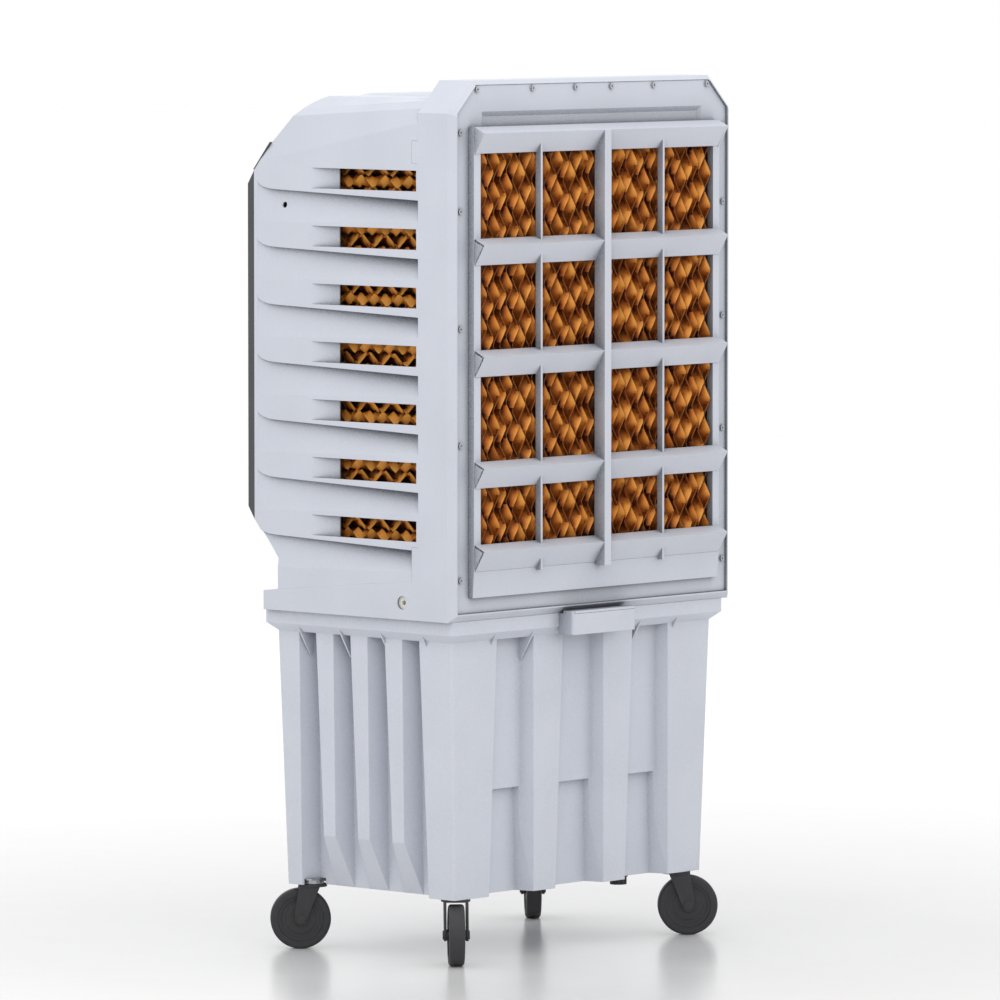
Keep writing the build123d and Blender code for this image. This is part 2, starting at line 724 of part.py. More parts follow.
def rear_grille():
    back = plate_face_y + clear
    low, high = frame_z
    grille = slab((-frame_half_x, frame_half_x), (back, frame_face_y), frame_z)
    inner_x = frame_half_x - rail_width
    inner_z = (low_slat_z - slat_drop, high - rail_width)
    grille = grille - slab((-inner_x, inner_x), (back - 1.0, frame_face_y + 1.0), inner_z)
    beyond = frame_face_y + 5.0
    wedge = [(frame_face_y, inner_z[0]), (frame_face_y - 3.0, low), (beyond, low), (beyond, inner_z[0])]
    grille = grille - along_x(wedge, -frame_half_x - 1.0, frame_half_x + 1.0)
    rows = ceil((high - low_slat_z) / slat_pitch)
    tops = [high - row * slat_pitch for row in range(rows)] + [low_slat_z]
    grille = join_all([grille] + [slat(top) for top in tops])
    foot = high - slat_drop - 1.0
    cheek = [(back, high), (frame_face_y, high), (slat_crest_y, high - 10.0)]
    cheek += [(frame_face_y + 1.0, foot), (back, foot)]
    grille = grille + both_sides(along_x(cheek, frame_half_x - 5.5, frame_half_x - 2.0))
    front, half = frame_face_y - 1.5, middle_bar / 2
    bar_z = (inner_z[0] - 5.0, high - 10.0)
    grille = grille + slab((-half, half), (front, slat_crest_y), bar_z)
    guide = (guide_bar_x - guide_bar / 2, guide_bar_x + guide_bar / 2)
    return grille + both_sides(slab(guide, (front, frame_face_y + 10.0), (bar_z[0], high - 12.0)))


def rear_pad():
    return slab((-pad_half_x, pad_half_x), (pad_front_y, pad_rear_y), (pad_low_z, pad_high_z))


def side_pad(side):
    return slab([side * x for x in side_pad_x], side_pad_y, (side_pad_low_z, pad_high_z))


# ---------------------------------------------------------------- fan
def turned(shape, angle):
    """The shape turned about the fan's axis."""
    return Pos(0, 0, fan_z) * Rot(0, angle, 0) * Pos(0, 0, -fan_z) * shape


def fan_shroud():
    plate = slab((-shroud_half_x, shroud_half_x), (shroud_y, shroud_y + skin), shroud_z)
    ring = rod_y(0, fan_z, fan_bore_r + skin, ring_front_y, ring_rear_y)
    return plate + ring - rod_y(0, fan_z, fan_bore_r, ring_front_y - 1.0, ring_rear_y + 1.0)


def fan_impeller():
    """Moulded axial impeller, its blades twisted from root to tip."""
    middle = shroud_y + 5.0
    hub = rod_y(0, fan_z, fan_hub_r, middle - hub_half_length, middle + hub_half_length)
    hub = fillet(hub.faces().sort_by(Axis.Y)[0].edges(), 12.0)
    sections = []
    for reach, pitch, chord in ((fan_hub_r - 7.0, 42.0, 70.0), (fan_bore_r - tip_gap, 24.0, 92.0)):
        plane = Plane(origin=(0, middle, fan_z + reach), x_dir=(1, 0, 0), z_dir=(0, 0, 1))
        sections.append(plane * Rot(0, 0, pitch) * Rectangle(chord, blade_thick))
    blade = loft(sections, ruled=True)
    blades = [turned(blade, index * 360 / fan_blade_count) for index in range(fan_blade_count)]
    return join_all([hub] + blades) - rod_y(0, fan_z, shaft_r + running, middle - 40.0, middle + 40.0)


def fan_motor():
    front = ring_rear_y + bracket_thick
    motor = rod_y(0, fan_z, motor_r, front, motor_rear_y)
    motor = fillet(motor.faces().sort_by(Axis.Y)[-1].edges(), 10.0)
    return motor + rod_y(0, fan_z, shaft_r, shroud_y - 28.0, front)


def motor_bracket():
    """Round plate on four arms that end on the shroud's ring."""
    span = (ring_rear_y, ring_rear_y + bracket_thick)
    reach, arm_half = fan_bore_r + skin + 8.0, 12.0
    arm = slab((-reach, reach), span, (fan_z - arm_half, fan_z + arm_half))
    bracket = join_all([rod_y(0, fan_z, motor_r + 15.0, *span), turned(arm, 45.0), turned(arm, 135.0)])
    return bracket - rod_y(0, fan_z, shaft_r + 10.0, span[0] - 1.0, span[1] + 1.0)


def fan_guard():
    """Wire rings on three straight wires, welded to the front of the shroud's ring."""
    half = guard_wire / 2
    last_r = fan_bore_r + skin / 2
    step = (last_r - guard_first_r) / (guard_ring_count - 1)
    wires = []
    for index in range(guard_ring_count):
        radius = guard_first_r + index * step
        ring = rod_y(0, fan_z, radius + half, ring_front_y - guard_wire, ring_front_y)
        wires.append(ring - rod_y(0, fan_z, radius - half, ring_front_y - 3.0, ring_front_y + 1.0))
    reach = last_r + 0.5
    spoke = slab((-reach, reach), (ring_front_y - 4.4, ring_front_y - 2.2), (fan_z - 1.2, fan_z + 1.2))
    return join_all(wires + [turned(spoke, angle) for angle in (15.0, 75.0, 135.0)])


def swing_motor():
    """Small synchronous motor above the duct, on two lugs."""
    x = vane_places()[-2]
    top = outlet_high_z + outlet_wall
    lugs = [rod_z(x + side * 17.0, vane_pivot_y, 4.0, top, top + 7.0) for side in (-1, 1)]
    return join_all([rod_z(x, vane_pivot_y, 24.0, top + 6.0, top + 28.0)] + lugs)


# ---------------------------------------------------------------- water system
def water_distributor():
    """Hollow tray over the three pads, with a spigot for the hose and drip holes in its floor."""
    wall = tray_wall
    low, high = tray_z
    rear = slab((-tray_half_x, tray_half_x), (pad_front_y, tray_rear_y), tray_z)
    tray = rear + both_sides(slab((tray_arm_x, tray_half_x), (tray_arm_y, pad_front_y + 1.0), tray_z))
    hollow_z = (low + wall, high - wall)
    inner_x = tray_half_x - wall
    hollow = slab((-inner_x, inner_x), (pad_front_y + wall, tray_rear_y - wall), hollow_z)
    arm_hollow = slab((tray_arm_x + wall, inner_x), (tray_arm_y + wall, pad_front_y + 3.0), hollow_z)
    tray = tray - hollow - both_sides(arm_hollow)
    tray = tray + rod_z(hose_x, hose_y, hose_bore_r - running, low - 18.0, low + 1.0)
    tray = tray - rod_z(hose_x, hose_y, hose_bore_r - 1.5, low - 19.0, low + wall + 0.5)
    floor = (low - 1.0, low + wall + 1.0)
    drips = [rod_z(drip_pitch * index, hose_y + 5.0, drip_r, *floor) for index in range(-5, 6)]
    arm_x = (tray_arm_x + tray_half_x) / 2
    for index in range(4):
        drips.append(both_sides(rod_z(arm_x, tray_arm_y + 16.0 + drip_pitch * index, drip_r, *floor)))
    return cut_all(tray, drips)


def pump():
    floor = tank_z + tank_wall
    top = floor + pump_height
    x_span = (pump_x - pump_half_x, pump_x + pump_half_x)
    body = slab(x_span, (pump_y - pump_half_y, pump_y + pump_half_y), (floor, top))
    body = fillet(body.edges().filter_by(Axis.Z), 10.0)
    body = chamfer(body.faces().sort_by(Axis.Z)[-1].edges(), 3.0)
    spigot = rod_z(pump_x, pump_y, hose_bore_r - running, top - 1.0, top + 34.0)
    return body + spigot - rod_z(pump_x, pump_y, hose_bore_r - 2.0, top + 4.0, top + 35.0)


def supply_hose():
    """Hose from the pump's spigot up beside the rear pad to the tray's spigot."""
    start = tank_z + tank_wall + pump_height + 4.0
    route = [(pump_x, pump_y, start), (pump_x, pump_y, start + 128.0), (hose_x, hose_y, deck_z - 93.5)]
    route += [(hose_x, hose_y, tray_z[0])]
    radii = []
    for before, at, after in zip(route, route[1:], route[2:]):
        one, two = Vector(at) - Vector(before), Vector(after) - Vector(at)
        turn = radians(one.get_angle(two))
        radii.append(0.45 * min(one.length, two.length) / (sin(turn / 2) / cos(turn / 2)))
    print("hose bend radii", [round(radius) for radius in radii])
    path = FilletPolyline(*route, radius=radii)
    end = Plane(path @ 0, z_dir=path % 0)
    hose = sweep(end * Circle(hose_r), path) - sweep(end * Circle(hose_bore_r), path)
    section = pi * (hose_r**2 - hose_bore_r**2)
    print("hose volume share", round(hose.volume / (section * path.length), 4))
    return hose


def float_valve():
    """Valve through the casing wall, with a post down to the deck and a clevis for the float's arm."""
    seat = half_width - casing_wall
    body = rod_x(inlet_y, inlet_z, 9.0, seat - 41.0, seat)
    body = body + rod_x(inlet_y, inlet_z, 15.0, seat - 3.0, seat)
    body = body - rod_x(inlet_y, inlet_z, 4.0, seat - 37.0, half_width)
    post_z = (deck_z + casing_wall, inlet_z - 4.0)
    post = slab((seat - 39.0, seat - 27.0), (inlet_y - 6.0, inlet_y + 6.0), post_z)
    x, z = float_pivot
    for side in (-1, 1):
        cheek_y = (inlet_y + side * 3.3, inlet_y + side * 6.3)
        post = post + slab((x - 5.0, seat - 37.0), cheek_y, (z - 6.0, z + 8.0))
    return body + post - rod_y(x, z, float_pin_r + running, inlet_y - 7.0, inlet_y + 7.0)


def float_arm():
    x, z = float_pivot
    run = Vector(float_end[0] - x, 0, float_end[1] - z)
    stem = Pos(0, 0, run.length / 2) * Cylinder(2.5, run.length)
    arm = Plane(origin=(x, inlet_y, z), z_dir=run.normalized()) * stem
    arm = arm + rod_y(x, z, 4.5, inlet_y - 3.0, inlet_y + 3.0)
    arm = arm + rod_y(x, z, float_pin_r, inlet_y - 6.2, inlet_y + 6.2)
    ball = Cylinder(float_r, 40.0)
    ball = fillet(ball.edges(), float_r / 2)
    return arm + Pos(float_end[0], inlet_y, float_end[1] - 8.0) * ball


def drain_fitting():
    """Flanged spout through the tank floor."""
    floor = tank_z + tank_wall
    tiers = ((drain_r, tank_z - 13.0, floor + 3.0), (drain_r + 7.0, floor, floor + 3.0))
    tiers += ((drain_r + 6.0, tank_z - 3.0, tank_z),)
    fitting = join_all([rod_z(drain_x, drain_y, radius, low, high) for radius, low, high in tiers])
    return fitting - rod_z(drain_x, drain_y, drain_r - drain_wall, tank_z - 25.0, floor + 4.0)


def drain_plug():
    """Screw cap with finger grooves round it."""
    low = tank_z - 16.0
    plug = rod_z(drain_x, drain_y, plug_r, low, tank_z - 4.0)
    plug = plug - rod_z(drain_x, drain_y, drain_r + running, low + 2.7, tank_z - 3.0)
    groove = Pos(plug_r - 0.2, 0, low + 4.0) * Cylinder(1.4, 10.0)
    return cut_all(plug, [Pos(drain_x, drain_y, 0) * Rot(0, 0, index * 30) * groove for index in range(12)])


def fill_hopper():
    """Open box on the tank's rear rim, with cheeks that carry the lid's pin."""
    front, rear = rim_half_y, hopper_rear_y
    outer, inner = hopper_half_x, hopper_half_x - hopper_wall
    hopper = slab((-outer, outer), (front, rear), (hopper_z, lid_top_z))
    hopper = fillet(hopper.edges().filter_by(Axis.Z).group_by(Axis.Y)[-1], 2 * hopper_wall)
    inside_y = (front + hopper_wall, rear - hopper_wall)
    above = (deck_z, lid_top_z + 1.0)
    hopper = hopper - slab((-inner, inner), inside_y, (hopper_z + hopper_wall, deck_z + 1.0))
    hopper = hopper - slab((-mouth_half_x, mouth_half_x), (front - 1.0, inside_y[0] + 1.0), mouth_z)
    hopper = hopper - slab((-inner, inner), (front - 1.0, rear + 1.0), above)
    hopper = hopper - slab((-outer - 1.0, outer + 1.0), (front - 1.0, rear_y + 0.5), above)
    return hopper - rod_x(lid_pin_y, lid_pin_z, lid_pin_r + running, -outer - 1.0, outer + 1.0)


def fill_lid():
    width = hopper_half_x - hopper_wall - 0.4
    lid = slab((-width, width), (rear_y + 3.0, hopper_rear_y), (deck_z + 0.5, lid_top_z))
    lid = fillet(lid.edges().filter_by(Axis.X).group_by(Axis.Y)[0], 1.8)
    pin_end = hopper_half_x - 0.2
    return lid + rod_x(lid_pin_y, lid_pin_z, lid_pin_r, -pin_end, pin_end)


# ---------------------------------------------------------------- castors
castors = {
    "front_left": (-1, -1),
    "front_right": (1, -1),
    "rear_left": (-1, 1),
    "rear_right": (1, 1),
}


def castor_frame(corner):
    """Frame at a castor's stem on the floor, with x pointing the way the wheel trails."""
    sx, sy = castors[corner]
    return Pos(sx * castor_x, sy * castor_y, 0) * Rot(0, 0, degrees(atan2(sy, sx)))


def wheel_frame(corner):
    """Frame at a wheel's middle, with z along its axle."""
    return castor_frame(corner) * Pos(trail, 0, wheel_r) * Rot(90, 0, 0)


def castor_fork(corner):
    """Pressed fork: a round crown with a stem on top and two legs down to the axle."""
    middle = crown_z + crown_thick / 2
    outer = leg_gap + leg_thick
    fork = Pos(0, 0, middle) * Cylinder(crown_r, crown_thick)
    fork = fork + Pos(8, 0, middle) * Box(30.0, 2 * outer, crown_thick)
    outline = [(-crown_r / 2, crown_z + 2.0), (trail + 3.0, crown_z + 2.0)]
    outline += [(trail + foot_r, wheel_r + 12.0), (trail + foot_r, wheel_r), (trail - foot_r, wheel_r)]
    leg = along_y(outline, leg_gap, outer) + rod_y(trail, wheel_r, foot_r, leg_gap, outer)
    fork = fork + both_ends(leg)
    fork = fork + Pos(0, 0, crown_z + crown_thick + 3.2) * Cylinder(stem_r, 7.0)
    fork = fork - Pos(trail, 0, wheel_r) * Rot(90, 0, 0) * Cylinder(axle_r, 60.0)
    return castor_frame(corner) * fork


def castor_axle(corner):
    heads = [Pos(0, 0, side * (leg_gap + leg_thick + 1.0)) * Cylinder(7.5, 2.0) for side in (-1, 1)]
    return wheel_frame(corner) * join_all([Cylinder(axle_r, 2 * (leg_gap + leg_thick))] + heads)


def castor_wheel(corner):
    """Disc wheel with a ring groove in each face."""
    rim_r = wheel_r - tyre_thick
    wheel = Cylinder(hub_r, 2 * leg_gap - 1.0) + Cylinder(rim_r, 22.0)
    ring = Cylinder(rim_r - 5.0, 4.0) - Cylinder(rim_r - 14.0, 5.0)
    wheel = cut_all(wheel, [Pos(0, 0, side * 11.0) * ring for side in (-1, 1)])
    return wheel_frame(corner) * (wheel - Cylinder(axle_r + running, 40.0))


def castor_tyre(corner):
    tyre = Cylinder(wheel_r, wheel_width)
    return wheel_frame(corner) * (fillet(tyre.edges(), 5.0) - Cylinder(wheel_r - tyre_thick, 40.0))


def castor_plates():
    """Mounting plates pressed into the tank's corners, each with the bearing for a fork's stem."""
    low = crown_z + crown_thick + clear
    plates = []
    for sx, sy in castors.values():
        x, y = sx * castor_x, sy * castor_y
        plate = Pos(x, y, pocket_z - mount_thick / 2) * Box(mount_length, mount_width, mount_thick)
        plate = fillet(plate.edges().filter_by(Axis.Z), 6.0)
        plate = plate + rod_z(x, y, 19.0, low, pocket_z - mount_thick + 0.5)
        plates.append(plate - rod_z(x, y, stem_r + running, low - 1.0, pocket_z - 0.8))
    return Compound([plate.solid() for plate in plates])


pieces = {
    "water_tank": water_tank,
    "rear_casing": rear_casing,
    "front_casing": front_casing,
    "front_fascia": front_fascia,
    "control_panel": control_panel,
    "speed_knob": lambda: knob(knob_x[0]),
    "function_knob": lambda: knob(knob_x[1]),
    "rear_cover_plate": rear_cover_plate,
    "panel_screws": panel_screws,
    "rear_grille": rear_grille,
    "rear_pad": rear_pad,
    "side_pad_left": lambda: side_pad(-1),
    "side_pad_right": lambda: side_pad(1),
    "fan_shroud": fan_shroud,
    "fan_impeller": fan_impeller,
    "fan_motor": fan_motor,
    "motor_bracket": motor_bracket,
    "fan_guard": fan_guard,
    "swing_motor": swing_motor,
    "water_distributor": water_distributor,
    "pump": pump,
    "supply_hose": supply_hose,
    "float_valve": float_valve,
    "float_arm": float_arm,
    "drain_fitting": drain_fitting,
    "drain_plug": drain_plug,
    "fill_hopper": fill_hopper,
    "fill_lid": fill_lid,
    "castor_plates": castor_plates,
    "blade_link": blade_link,
    "vane_link": vane_link,
}
for number, height in enumerate(blade_heights(), 1):
    pieces[f"outlet_blade_{number}"] = lambda height=height: outlet_blade(height)
for number, place in enumerate(vane_places(), 1):
    pieces[f"outlet_vane_{number}"] = lambda place=place: outlet_vane(place)
for corner in castors:
    pieces[f"castor_fork_{corner}"] = lambda corner=corner: castor_fork(corner)
    pieces[f"castor_axle_{corner}"] = lambda corner=corner: castor_axle(corner)
    pieces[f"castor_wheel_{corner}"] = lambda corner=corner: castor_wheel(corner)
    pieces[f"castor_tyre_{corner}"] = lambda corner=corner: castor_tyre(corner)

for name, make in pieces.items():
    write(name, make())
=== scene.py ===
"""A mobile evaporative cooler: pale moulded casings and tank, brown wet pads, on four charcoal castors."""

import json
import math
import random

import bpy
from mathutils import Matrix, Vector


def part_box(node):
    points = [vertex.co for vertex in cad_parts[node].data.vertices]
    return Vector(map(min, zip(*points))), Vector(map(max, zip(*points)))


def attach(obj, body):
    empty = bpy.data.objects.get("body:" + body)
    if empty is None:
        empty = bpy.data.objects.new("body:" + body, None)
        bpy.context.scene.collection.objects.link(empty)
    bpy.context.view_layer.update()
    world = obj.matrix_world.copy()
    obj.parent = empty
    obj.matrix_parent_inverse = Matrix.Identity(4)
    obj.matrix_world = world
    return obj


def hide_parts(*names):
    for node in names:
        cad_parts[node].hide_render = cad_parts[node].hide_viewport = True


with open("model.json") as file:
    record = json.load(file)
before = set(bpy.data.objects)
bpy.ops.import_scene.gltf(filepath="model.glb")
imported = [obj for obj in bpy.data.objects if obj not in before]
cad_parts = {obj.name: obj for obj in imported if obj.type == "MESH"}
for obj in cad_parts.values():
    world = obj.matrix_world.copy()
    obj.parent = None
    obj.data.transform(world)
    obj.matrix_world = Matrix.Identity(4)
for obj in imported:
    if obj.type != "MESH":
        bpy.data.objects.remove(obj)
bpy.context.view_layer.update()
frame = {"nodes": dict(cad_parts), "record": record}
nodes = frame["nodes"]
bpy.ops.object.select_all(action="DESELECT")


# ---- The studio it stands in -----------------------------------------------------------------------
# A white room with a faintly glossy floor, greyer near the machine as painted shade and fading to white
# further out, bright all round, with wide soft lights overhead, behind the viewer and before the machine's
# front.
def linear(code):
    """sRGB hex to a linear RGBA colour."""
    channels = [int(code[i : i + 2], 16) / 255 for i in (0, 2, 4)]
    return [c / 12.92 if c <= 0.04045 else ((c + 0.055) / 1.055) ** 2.4 for c in channels] + [1.0]


def add_node(material, kind, links=(), values=(), **settings):
    """One shader node with its settings; links are (input, other node, output), values are (input, value)."""
    node = material.node_tree.nodes.new(kind)
    for name, value in settings.items():
        if hasattr(node, name):
            setattr(node, name, value)
        else:
            node.inputs[name.replace("_", " ")].default_value = value
    for name, value in values:
        node.inputs[name].default_value = value
    for target, source, output in links:
        material.node_tree.links.new(source.outputs[output], node.inputs[target])
    return node


def new_material(name):
    """An empty material and its Principled shader, wired to the output."""
    material = bpy.data.materials.new(name)
    material.use_nodes = True
    material.node_tree.nodes.clear()
    shader = add_node(material, "ShaderNodeBsdfPrincipled")
    add_node(material, "ShaderNodeOutputMaterial", [("Surface", shader, "BSDF")])
    return material, shader


def wire(material, source, output, shader, socket):
    material.node_tree.links.new(source.outputs[output], shader.inputs[socket])


camera_turn = math.radians(132.23)
camera_rise = math.radians(4.04)
camera_range = 14.255
camera_aim = Vector((0, 0, 0.7347))
camera_slip = 0.0077
back = Vector((math.sin(camera_turn) * math.cos(camera_rise), -math.cos(camera_turn) * math.cos(camera_rise),
               math.sin(camera_rise)))
sideways = Vector((math.cos(camera_turn), math.sin(camera_turn), 0))
bpy.ops.object.camera_add(location=back * camera_range + sideways * camera_slip + camera_aim)
camera = bpy.context.object
camera.rotation_euler = (-back).to_track_quat("-Z", "Y").to_euler()
camera.data.lens = 309.96
camera.data.sensor_width = 36
bpy.context.scene.camera = camera
bpy.context.scene.view_settings.view_transform = "Standard"

bpy.ops.mesh.primitive_plane_add(size=80, location=(0, 0, 0))
floor = bpy.context.object
floor.name = "studio_floor"
white_floor, shader = new_material("white_lacquered_floor")
place = add_node(white_floor, "ShaderNodeTexCoord")
scuff = add_node(white_floor, "ShaderNodeTexNoise", [("Vector", place, "Object")], Scale=3.0, Detail=4.0)
shine = add_node(white_floor, "ShaderNodeMapRange", [("Value", scuff, "Fac")], To_Min=0.16, To_Max=0.30)
wire(white_floor, shine, "Result", shader, "Roughness")
# Painted shade: the floor is greyer within about a metre of the machine, paling to white by three metres.
reach = add_node(white_floor, "ShaderNodeVectorMath", [(0, place, "Object")], operation="LENGTH")
reach = add_node(white_floor, "ShaderNodeMapRange", [("Value", reach, "Value")], From_Min=0.8, From_Max=3.2)
floor_shade_fade = add_node(white_floor, "ShaderNodeMix", [("Factor", reach, "Result")],
                [(6, linear("DEDEDE")), (7, linear("FFFFFF"))], data_type="RGBA")
wire(white_floor, floor_shade_fade, 2, shader, "Base Color")
shader.inputs["Specular IOR Level"].default_value = 0.25
floor.data.materials.append(white_floor)

world = bpy.data.worlds.new("studio")
bpy.context.scene.world = world
world.use_nodes = True
world.node_tree.nodes["Background"].inputs["Color"].default_value = linear("FFFFFF")
world.node_tree.nodes["Background"].inputs["Strength"].default_value = 1.0

for name, place, size, power in (
    ("overhead", (0.8, 0.6, 4.5), 3.5, 34),
    ("behind_viewer", (5.6, 4.4, 3.0), 1.2, 22),
    ("front_fill", (-3.0, -5.0, 3.0), 3.0, 20),
):
    light = bpy.data.lights.new(name, "AREA")
    light.size = size
    light.energy = power
    lamp = bpy.data.objects.new(name, light)
    bpy.context.scene.collection.objects.link(lamp)
    lamp.location = place
    lamp.rotation_euler = (Vector(place) - camera_aim).to_track_quat("Z", "Y").to_euler()


# ---- Castors ---------------------------------------------------------------------------------------
# Glass-filled nylon forks and disc wheels with a hard rubber tyre, all charcoal, with the axles' ends
# capped in the same nylon. Each fork's stem runs in a plate pressed into a corner of the tank.
def paint(names, material):
    """Give CAD pieces a finish."""
    for name in names:
        nodes[name].data.materials.clear()
        nodes[name].data.materials.append(material)


def finish(name, main, patch, roughness, grain, depth, edge_wear_highlight="", hollow_shade="", reach=0.035, metallic=0.0):
    """A moulded or metal finish: cloudy tint, fine grain (mm), edges paler as rub wear and painted highlight,
    hollows darkened as painted shade.
    """
    material, shader = new_material(name)
    place = add_node(material, "ShaderNodeTexCoord")
    cloud = add_node(material, "ShaderNodeTexNoise", [("Vector", place, "Object")], Scale=9.0, Detail=5.0)
    speck = add_node(material, "ShaderNodeTexNoise", [("Vector", place, "Object")], Scale=1000 / grain,
                     Detail=2.0)
    blend = add_node(material, "ShaderNodeMath", [(0, cloud, "Fac"), (1, speck, "Fac")], operation="ADD")
    share = add_node(material, "ShaderNodeMapRange", [("Value", blend, "Value")], From_Min=0.75,
                     From_Max=1.25)
    colours = [(6, linear(main)), (7, linear(patch))]
    tint = add_node(material, "ShaderNodeMix", [("Factor", share, "Result")], colours, data_type="RGBA")
    rounded = add_node(material, "ShaderNodeBevel", samples=6, Radius=0.0012)
    # Rub wear and painted highlight: where the rounded normal turns from the flat one, the colour is lifted
    # towards the paler edge tint.
    if edge_wear_highlight:
        flat = add_node(material, "ShaderNodeNewGeometry")
        turn = [(0, rounded, "Normal"), (1, flat, "Normal")]
        turn = add_node(material, "ShaderNodeVectorMath", turn, operation="DOT_PRODUCT")
        rub_and_highlight = add_node(material, "ShaderNodeMapRange", [("Value", turn, "Value")], From_Min=1.0,
                       From_Max=0.80, To_Max=0.55)
        tint = add_node(material, "ShaderNodeMix", [("Factor", rub_and_highlight, "Result"), (6, tint, 2)],
                        [(7, linear(edge_wear_highlight))], data_type="RGBA")
    # Painted shade: where ambient occlusion finds nearby surfaces, the colour is pulled towards the darker
    # hollow tint, broken up by the fine speck.
    if hollow_shade:
        shelter = add_node(material, "ShaderNodeAmbientOcclusion", samples=8, Distance=reach)
        shelter = add_node(material, "ShaderNodeMapRange", [("Value", shelter, "AO")], From_Min=0.95,
                           From_Max=0.35)
        shade_grain = add_node(material, "ShaderNodeMapRange", [("Value", speck, "Fac")], From_Min=0.3, From_Max=0.7,
                        To_Min=0.75, To_Max=1.25)
        shelter = add_node(material, "ShaderNodeMath", [(0, shelter, "Result"), (1, shade_grain, "Result")],
                           operation="MULTIPLY", use_clamp=True)
        tint = add_node(material, "ShaderNodeMix", [("Factor", shelter, "Value"), (6, tint, 2)],
                        [(7, linear(hollow_shade))], data_type="RGBA")
    bump = add_node(material, "ShaderNodeBump", [("Height", speck, "Fac"), ("Normal", rounded, "Normal")],
                    Strength=0.35, Distance=depth / 1000)
    sheen = add_node(material, "ShaderNodeMapRange", [("Value", cloud, "Fac")], From_Min=0.3, From_Max=0.7,
                     To_Min=roughness - 0.05, To_Max=roughness + 0.07)
    wire(material, tint, 2, shader, "Base Color")
    wire(material, sheen, "Result", shader, "Roughness")
    wire(material, bump, "Normal", shader, "Normal")
    shader.inputs["Metallic"].default_value = metallic
    return material


corners = ("front_left", "front_right", "rear_left", "rear_right")
filled_nylon = finish("glass_filled_nylon", "333335", "2C2C2E", 0.50, 1.6, 0.05, edge_wear_highlight="5A5A5C")
hard_rubber = finish("hard_castor_rubber", "353537", "2E2E30", 0.62, 1.2, 0.06, edge_wear_highlight="555557")
zinc_plate = finish("zinc_plated_steel", "B9BCBF", "9EA1A4", 0.32, 3.0, 0.02, edge_wear_highlight="DADCDE", metallic=1.0)
for corner in corners:
    paint([f"castor_fork_{corner}", f"castor_wheel_{corner}"], filled_nylon)
    paint([f"castor_tyre_{corner}"], hard_rubber)
    paint([f"castor_axle_{corner}"], filled_nylon)
paint(["castor_plates"], zinc_plate)

# ---- Tank ----------------------------------------------------------------------------------------------
# Pale bluish grey polyethylene, rotationally moulded: satin and faintly cloudy, with soft edges and an
# orange-peel skin.
# Its hollows are darkened towards a grey tint as painted shade.
polyethylene = finish("rotomoulded_polyethylene", "D2D6E0", "CBCFD9", 0.42, 3.2, 0.06, edge_wear_highlight="F0F2F7",
                      hollow_shade="B0B4BC", reach=0.028)
paint(["water_tank"], polyethylene)

# ---- Casings, cover plate, pad frame, filling hopper and lid ---------------------------------------------
# Polypropylene of the same shade, injection moulded: satin, with the fine sandy grain of a spark-eroded
# mould; the hollows under the louvres are darkened with painted shade.
polypropylene = finish("moulded_polypropylene", "CED2DC", "C8CCD6", 0.44, 2.2, 0.05, edge_wear_highlight="ECEEF4",
                       hollow_shade="74787F", reach=0.06)
paint(["rear_casing", "front_casing", "rear_cover_plate", "rear_grille", "fill_hopper", "fill_lid"],
      polypropylene)

# ---- End webs of the pad frame's slats ---------------------------------------------------------------------
# Each roof-shaped slat of the pad frame is closed at both ends by a thin moulded web of the same
# polypropylene, just inside the slat's slopes.
skin_gap = 0.0002
slat_tops = (1.182, 1.002, 0.822, 0.688)
slat_drop = 0.043
crest_fall = 0.010
frame_face = 0.228
web_root = frame_face - 0.001
web_foot = frame_face + 0.0009
web_inset = 0.002
web_thick = 0.0035


def moulded_block(name, spot, body):
    """A six-sided polypropylene block; spot places each corner of a cube, False or True a side."""
    bpy.ops.mesh.primitive_cube_add(size=1)
    block = bpy.context.object
    block.name = name
    for vertex in block.data.vertices:
        vertex.co = spot(*(value > 0 for value in vertex.co))
    block.data.materials.append(polypropylene)
    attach(block, body)
    bpy.ops.object.select_all(action="DESELECT")


grille_low, grille_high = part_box("rear_grille")


def web_spot(inner, top):
    """Where the corners of one slat's web go."""

    def spot(outer_side, proud, upper):
        x = inner + outer_side * web_thick
        if not upper:
            return x, web_foot if proud else web_root, top - slat_drop
        if proud:
            return x, grille_high[1] - skin_gap, top - crest_fall - skin_gap
        return x, web_root, top - skin_gap

    return spot


for row, top in enumerate(slat_tops):
    moulded_block(f"slat_web_{row}_left", web_spot(grille_low[0] + web_inset, top), "pad_frame")
    moulded_block(f"slat_web_{row}_right", web_spot(grille_high[0] - web_inset - web_thick, top), "pad_frame")

# ---- Closing strip between the casings --------------------------------------------------------------------
# The step from the hood's roof up to the rear casing is closed by a strip of the same polypropylene,
# with the rear casing's cut-off corners.
casing_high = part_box("rear_casing")[1]
casing_wall = 0.004
strip_half = casing_high[0] - casing_wall - skin_gap
strip_top = casing_high[2] - casing_wall - skin_gap
strip_cut = 0.0494
strip_y = (0.1452, 0.1482)


def strip_spot(right, rear, upper):
    """Where the corners of the strip go: its top edge is shorter by the two cut corners."""
    reach = strip_half - strip_cut * upper
    return reach if right else -reach, strip_y[rear], strip_top - strip_cut * (not upper)


moulded_block("casing_closing_strip", strip_spot, "cabinet")

